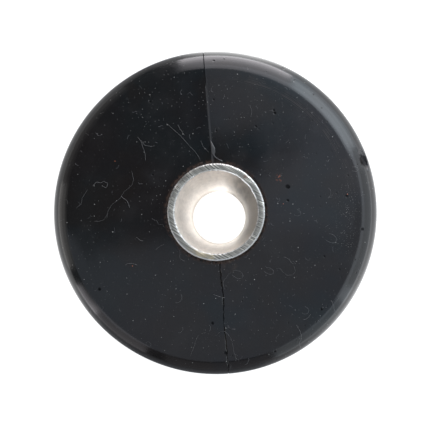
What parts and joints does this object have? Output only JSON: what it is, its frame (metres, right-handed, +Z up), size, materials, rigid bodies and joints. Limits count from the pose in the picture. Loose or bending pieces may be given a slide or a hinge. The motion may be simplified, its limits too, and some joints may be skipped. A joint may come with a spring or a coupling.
{
  "type": "magnet fishing magnet",
  "caption": "Rubber-jacketed cylindrical retrieving magnet with a steel tube through its middle for an eye bolt or rope; ring magnets inside pull all round its side.",
  "frame": {"origin": "centre of the lower end of the through tube, on the bore's axis", "axes": "+Z up along the bore; the jacket's mould parting line lies on the plane X = 0, and +Y points away from the circlips' gaps"},
  "size_m": [0.069, 0.069, 0.072],
  "materials": {
    "jacket_rubber": "moulded black rubber, satin, with a mould parting line",
    "zinc_steel": "zinc-plated tube, sawn ends",
    "magnet_nickel": "nickel-plated sintered magnet",
    "pole_steel": "turned low-carbon steel",
    "band_brass": "turned brass",
    "cap_aluminium": "turned aluminium",
    "acetal": "natural acetal",
    "seal_rubber": "nitrile O-ring",
    "spring_steel": "phosphated spring steel",
    "washer_steel": "zinc-plated steel"
  },
  "bodies": {
    "root": {"disc_spring": "spring_steel", "guard_band_1": "band_brass", "guard_band_2": "band_brass", "guard_band_3": "band_brass", "guard_band_4": "band_brass", "lower_circlip": "spring_steel", "lower_end_cap": "cap_aluminium", "lower_o_ring": "seal_rubber", "lower_washer": "washer_steel", "magnet_sleeve": "acetal", "pole_ring_1": "pole_steel", "pole_ring_2": "pole_steel", "pole_ring_3": "pole_steel", "pole_ring_4": "pole_steel", "pole_ring_5": "pole_steel", "ring_magnet_1": "magnet_nickel", "ring_magnet_2": "magnet_nickel", "ring_magnet_3": "magnet_nickel", "ring_magnet_4": "magnet_nickel", "rubber_jacket": "jacket_rubber", "through_tube": "zinc_steel", "upper_circlip": "spring_steel", "upper_end_cap": "cap_aluminium", "upper_o_ring": "seal_rubber", "upper_washer": "washer_steel"}
  },
  "joints": []
}
